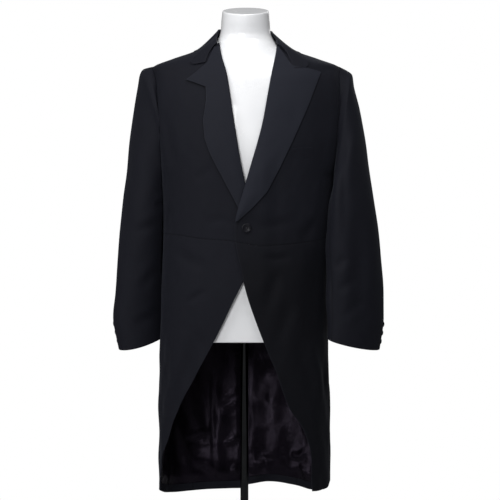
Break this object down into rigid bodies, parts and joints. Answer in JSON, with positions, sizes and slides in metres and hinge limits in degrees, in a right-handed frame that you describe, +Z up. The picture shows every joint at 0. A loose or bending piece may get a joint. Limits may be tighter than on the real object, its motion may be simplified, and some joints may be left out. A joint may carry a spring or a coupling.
{
  "type": "morning coat on torso form",
  "caption": "One-button peak-lapel morning coat with waist seam, cutaway fronts and lined tails, worn by a limbless torso form on a pole and round base.",
  "frame": {"origin": "centre of the base's underside, on the floor, on the pole's axis", "axes": "+Z up the pole, -Y the way the coat faces, +X the wearer's left"},
  "size_m": [0.6124, 0.35, 1.557],
  "materials": {
    "worsted": "matt navy-black worsted wool",
    "satin": "glossy purple-black satin",
    "form": "smooth glossy white",
    "steel": "polished chrome",
    "button": "polished black"
  },
  "bodies": {
    "root": {"forepart_left": "worsted", "forepart_right": "worsted", "sidebody_left": "worsted", "sidebody_right": "worsted", "back_left": "worsted", "back_right": "worsted", "skirt_left": "worsted", "skirt_right": "worsted", "topsleeve_left": "worsted", "topsleeve_right": "worsted", "undersleeve_left": "worsted", "undersleeve_right": "worsted", "lapel_left": "worsted", "lapel_right": "worsted", "collar": "worsted", "breast_welt": "worsted", "tail_lining_left": "satin", "tail_lining_right": "satin", "front_button": "button", "cuff_button_left_1": "button", "cuff_button_left_2": "button", "cuff_button_left_3": "button", "cuff_button_right_1": "button", "cuff_button_right_2": "button", "cuff_button_right_3": "button", "waist_button_left": "button", "waist_button_right": "button", "torso_form": "form", "stand_pole": "steel", "stand_base": "steel"}
  },
  "joints": []
}
